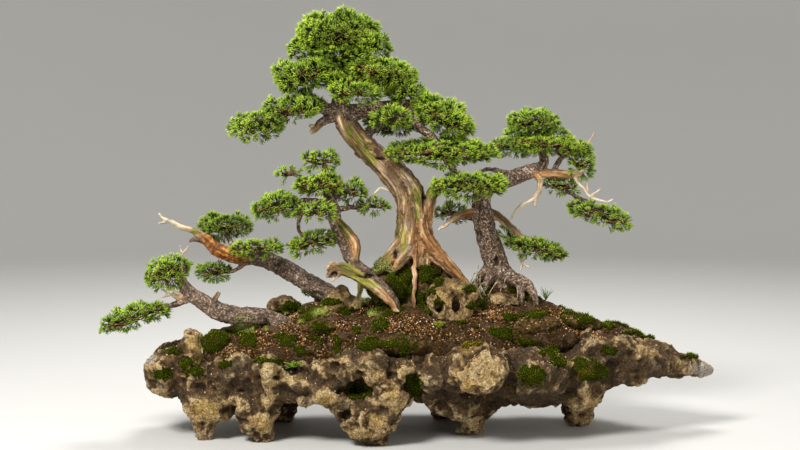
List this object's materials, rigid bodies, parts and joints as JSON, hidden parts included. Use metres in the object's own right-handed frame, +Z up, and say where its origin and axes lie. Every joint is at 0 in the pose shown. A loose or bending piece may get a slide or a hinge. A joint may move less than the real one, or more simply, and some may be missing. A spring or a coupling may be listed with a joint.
{
  "type": "juniper bonsai group on a rock slab",
  "caption": "Bonsai group of old leaning junipers with bare twisted trunks and flat needle pads, roots clasping a mossy, pitted, overhanging rock slab that stands on stone feet.",
  "frame": {"origin": "centre of the planting's outline as seen from above, on the surface it stands on", "axes": "+Z up, +X to the right along the slab towards its thin tip, -Y towards the viewer of the pictured front"},
  "size_m": [0.7988, 0.2522, 0.554],
  "materials": {
    "rock": "weathered, dark brown grey with cream and tan patches, pitted",
    "stones": "pale, pitted",
    "soil": "orange and tan baked clay granules, 2 to 4 mm",
    "moss": "deep green cushions, matt",
    "old_wood": "bleached tan and grey deadwood with green algae and an orange-brown live strip",
    "bark": "grey-brown flaking bark with bare orange-brown and pale dead parts",
    "foliage": "yellow-green juniper scales, satin",
    "plants": "green blades, satin"
  },
  "bodies": {
    "root": {"centre_apex": "foliage", "centre_back": "foliage", "centre_crown": "foliage", "centre_front": "foliage", "centre_left": "foliage", "centre_left_twig": "foliage", "centre_low": "foliage", "centre_right": "foliage", "centre_right_tip": "foliage", "centre_tree": "bark", "grass_tuft": "plants", "left_back": "foliage", "left_front": "foliage", "left_hanging": "foliage", "left_stone": "stones", "left_tree": "bark", "low_crown": "foliage", "low_tip": "foliage", "low_tree": "bark", "main_apex": "foliage", "main_back_low": "foliage", "main_back_upper": "foliage", "main_left_inner": "foliage", "main_left_tip": "foliage", "main_right_front": "foliage", "main_right_low": "foliage", "main_right_middle": "foliage", "main_right_outer": "foliage", "main_right_upper": "foliage", "main_shoulder_front": "foliage", "main_shoulder_left": "foliage", "main_shoulder_right": "foliage", "main_tree": "old_wood", "middle_stone": "stones", "moss_centre_slope": "moss", "moss_crest": "moss", "moss_front_band": "moss", "moss_front_cushion": "moss", "moss_left_cushion": "moss", "moss_left_edge": "moss", "moss_right_cushion": "moss", "moss_right_slope": "moss", "moss_root_mound": "moss", "pierced_stone": "stones", "right_apex": "foliage", "right_arm_tip": "foliage", "right_back": "foliage", "right_behind_arm": "foliage", "right_crown": "foliage", "right_crown_tip": "foliage", "right_low": "foliage", "right_low_back": "foliage", "right_stone": "stones", "right_tree": "bark", "rock_slab": "rock", "root_stone": "stones", "small_fern": "plants", "soil": "soil", "yellow_herb": "plants"}
  },
  "joints": []
}
